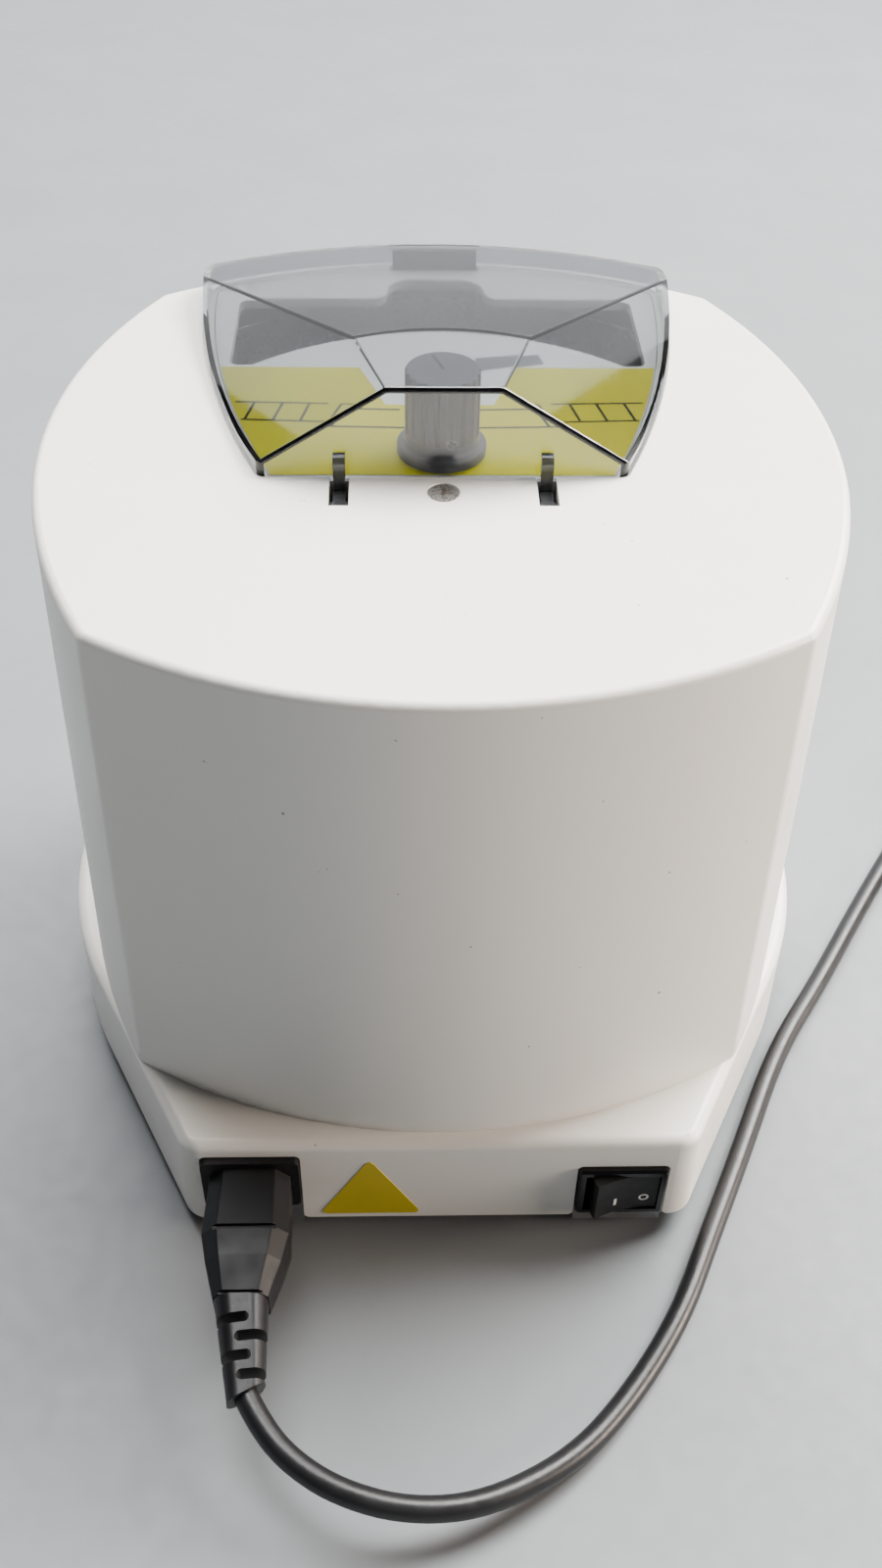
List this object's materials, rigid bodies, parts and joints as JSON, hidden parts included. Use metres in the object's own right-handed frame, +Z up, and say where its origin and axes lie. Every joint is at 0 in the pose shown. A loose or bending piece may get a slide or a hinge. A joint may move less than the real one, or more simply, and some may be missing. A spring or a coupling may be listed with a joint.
{
  "type": "microplate centrifuge",
  "caption": "Compact bench centrifuge for microplates: round white housing, faceted smoked lid on a rear hinge, vertical plate rotor on a hand knob, rear power inlet, rocker switch and cord.",
  "frame": {"origin": "on the bench, under the middle of the machine's own outline without its cord", "axes": "+Z up, +Y towards the rear face with the power inlet, -Y towards the operator and the lid's free edge, +X to the operator's right"},
  "size_m": [0.4609, 0.374, 0.2536],
  "materials": {
    "white_shell": "satin moulded skin with a fine grain",
    "smoked_lid": "smoked clear plastic, polished facets",
    "deck_white": "smooth sheet",
    "yellow_film": "satin printed film",
    "black_plastic": "fine moulded grain",
    "black_gloss": "polished",
    "dark_knob": "satin mid grey",
    "cord_jacket": "satin jacket",
    "foot_rubber": "matt",
    "pan_steel": "zinc plated sheet",
    "bright_screw": "bright plated",
    "zinc_screw": "zinc plated",
    "bowl_steel": "spun sheet",
    "rotor_aluminium": "turned, clear anodised",
    "carrier_sheet": "folded sheet, anodised",
    "shaft_steel": "ground",
    "motor_steel": "dark paint",
    "motor_cap_cast": "die cast",
    "mount_rubber": "matt",
    "contact_metal": "plated",
    "board_green": "solder mask",
    "sticker": "plain yellow film",
    "button_green": "polished cap",
    "lamp_red": "clear lens",
    "sensor_grey": "moulded",
    "bracket_alloy": "die cast"
  },
  "bodies": {
    "housing": {"upper_housing": "white_shell", "base_housing": "white_shell", "bottom_pan": "pan_steel", "rubber_feet": "foot_rubber", "pan_screws": "zinc_screw", "housing_screws": "zinc_screw", "motor_posts": "zinc_screw", "motor_isolators": "mount_rubber", "motor_plate": "pan_steel", "motor_nuts": "zinc_screw", "motor_body": "motor_steel", "motor_end_cap": "motor_cap_cast", "motor_bearings": "shaft_steel", "motor_screws": "zinc_screw", "chamber_bowl": "bowl_steel", "bowl_posts": "zinc_screw", "bowl_screws": "zinc_screw", "deck_plate": "deck_white", "deck_film": "yellow_film", "lid_sensor": "sensor_grey", "hinge_bracket": "bracket_alloy", "hinge_pins": "shaft_steel", "hinge_screw": "bright_screw", "power_inlet": "black_plastic", "inlet_pins": "contact_metal", "switch_bezel": "black_gloss", "rear_sticker": "sticker", "button_bezel": "black_plastic", "button_spring": "shaft_steel", "pilot_lamp": "lamp_red", "board_standoffs": "contact_metal", "control_board": "board_green", "power_supply": "board_green", "power_cord": "cord_jacket", "cord_coil": "cord_jacket", "cord_connector": "black_plastic", "cord_relief": "cord_jacket", "plug_strain_relief": "cord_jacket", "mains_plug": "black_plastic", "plug_blades": "contact_metal"},
    "lid": {"lid": "smoked_lid", "interlock_flag": "black_plastic"},
    "rotor": {"rotor_hub": "rotor_aluminium", "rotor_disc": "rotor_aluminium", "carrier_front": "carrier_sheet", "carrier_rear": "carrier_sheet", "carrier_screws": "zinc_screw", "drive_column": "shaft_steel", "knob": "dark_knob", "knob_set_screw": "shaft_steel", "motor_shaft": "shaft_steel"},
    "rocker": {"rocker": "black_plastic"},
    "start_button": {"start_button": "button_green"}
  },
  "joints": [
    {"name": "lid_hinge", "type": "hinge", "parent": "housing", "child": "lid", "pos_m": [0, 0.0335, 0.2195], "axis": [-1, 0, 0], "range_deg": [0, 92]},
    {"name": "rotor_spin", "type": "hinge", "parent": "housing", "child": "rotor", "pos_m": [0, 0.005, 0.1], "axis": [0, 0, 1], "continuous": true},
    {"name": "power_rocker", "type": "hinge", "parent": "housing", "child": "rocker", "pos_m": [-0.0599, 0.1294, 0.02385], "axis": [0, 0, -1], "range_deg": [0, 24]},
    {"name": "start_push", "type": "slide", "parent": "housing", "child": "start_button", "axis": [0, 1, 0], "range_m": [0, 0.0015], "stiffness_N_per_m": 400, "springref_m": -0.001}
  ]
}
